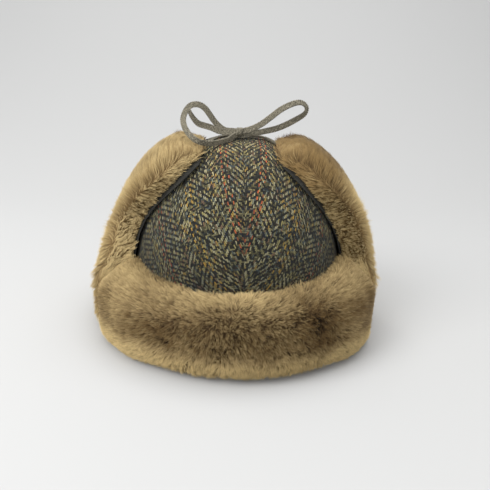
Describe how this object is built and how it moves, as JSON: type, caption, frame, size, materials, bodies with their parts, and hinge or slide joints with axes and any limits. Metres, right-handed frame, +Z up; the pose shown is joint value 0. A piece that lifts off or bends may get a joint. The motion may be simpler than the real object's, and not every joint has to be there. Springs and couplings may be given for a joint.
{
  "type": "aviator hat",
  "caption": "Tweed aviator hat with a fur-faced visor turned up in front and fur-faced ear flaps turned up and tied in a bow over the crown.",
  "frame": {"origin": "on the surface the hat stands on, under the middle of its fur rim", "axes": "+Z up through the crown, -Y towards the visor at the front, +X towards the wearer's left"},
  "size_m": [0.2665, 0.2731, 0.2015],
  "materials": {
    "tweed": "herringbone wool tweed in olive, navy and straw with rust, orange and mustard stripes",
    "flap_cloth": "dark wool cloth",
    "visor_fur": "soft plush fur, brown with paler tips",
    "flap_fur": "soft plush fur, camel with paler tips",
    "tie_cord": "flat matte braid, grey olive"
  },
  "bodies": {
    "root": {"crown_left": "tweed", "crown_right": "tweed", "visor_cloth": "flap_cloth", "visor_fur": "visor_fur", "ear_flap_left_cloth": "flap_cloth", "ear_flap_left_fur": "flap_fur", "ear_flap_right_cloth": "flap_cloth", "ear_flap_right_fur": "flap_fur", "bow_knot": "tie_cord", "tie_bridge": "tie_cord", "bow_loop_left": "tie_cord", "bow_loop_right": "tie_cord", "tie_end_left": "tie_cord", "tie_end_right": "tie_cord"}
  },
  "joints": []
}
